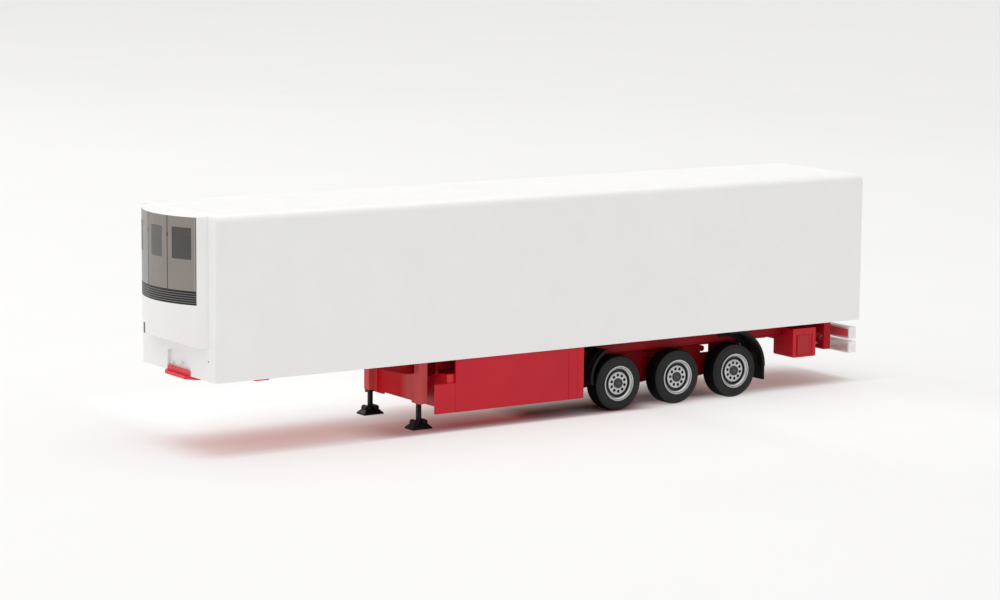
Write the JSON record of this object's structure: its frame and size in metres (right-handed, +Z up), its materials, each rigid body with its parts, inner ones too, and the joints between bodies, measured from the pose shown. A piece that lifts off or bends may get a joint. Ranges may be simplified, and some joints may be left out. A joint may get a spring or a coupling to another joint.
{
  "type": "plastic scale model of a refrigerated box semi trailer",
  "caption": "Scale model of a refrigerated semi trailer: hollow box, bowed cooling unit, red chassis on landing legs, turning wheelsets and a kingpin under the front.",
  "frame": {"origin": "on the ground, under the middle of the whole length, on the centre line", "axes": "+X forward to the kingpin end, +Y to the left side, +Z up"},
  "size_m": [0.1616, 0.0296, 0.0454],
  "materials": {
    "white_plastic": "satin moulded white",
    "red_plastic": "self-coloured satin red",
    "black_plastic": "satin moulded black",
    "lamp_plastic": "milky white",
    "rim_silver": "silver print on plastic",
    "tyre_black": "matt black"
  },
  "bodies": {
    "trailer": {"box_body": "white_plastic", "rear_doors": "white_plastic", "floor_plate": "red_plastic", "cooling_unit": "white_plastic", "cross_members": "red_plastic", "coupling_plate": "red_plastic", "landing_gear_frame": "red_plastic", "toolbox": "red_plastic", "rear_cross_beam": "red_plastic", "rear_bar": "red_plastic", "lamp_bar": "lamp_plastic", "underrun_bar": "lamp_plastic", "frame_rail_left": "red_plastic", "frame_rail_right": "red_plastic", "landing_leg_left": "black_plastic", "landing_leg_right": "black_plastic", "side_cover_left": "red_plastic", "side_cover_right": "red_plastic", "pallet_box_left": "red_plastic", "pallet_box_right": "red_plastic", "side_rail_left": "red_plastic", "side_rail_right": "red_plastic", "suspension_left": "red_plastic", "suspension_right": "red_plastic", "front_mudguard_left": "black_plastic", "front_mudguard_right": "black_plastic", "rear_mudguard_left": "black_plastic", "rear_mudguard_right": "black_plastic", "bumper_bracket_left": "red_plastic", "bumper_bracket_right": "red_plastic"},
    "wheelset_1": {"axle_1": "black_plastic", "rim_1_left": "rim_silver", "rim_1_right": "rim_silver", "tyre_1_left": "tyre_black", "tyre_1_right": "tyre_black"},
    "wheelset_2": {"axle_2": "black_plastic", "rim_2_left": "rim_silver", "rim_2_right": "rim_silver", "tyre_2_left": "tyre_black", "tyre_2_right": "tyre_black"},
    "wheelset_3": {"axle_3": "black_plastic", "rim_3_left": "rim_silver", "rim_3_right": "rim_silver", "tyre_3_left": "tyre_black", "tyre_3_right": "tyre_black"}
  },
  "joints": [
    {"name": "wheelset_1_roll", "type": "hinge", "parent": "trailer", "child": "wheelset_1", "pos_m": [-0.01724, 0, 0.00568], "axis": [0, 1, 0], "continuous": true},
    {"name": "wheelset_2_roll", "type": "hinge", "parent": "trailer", "child": "wheelset_2", "pos_m": [-0.03218, 0, 0.00568], "axis": [0, 1, 0], "continuous": true},
    {"name": "wheelset_3_roll", "type": "hinge", "parent": "trailer", "child": "wheelset_3", "pos_m": [-0.04713, 0, 0.00568], "axis": [0, 1, 0], "continuous": true}
  ]
}
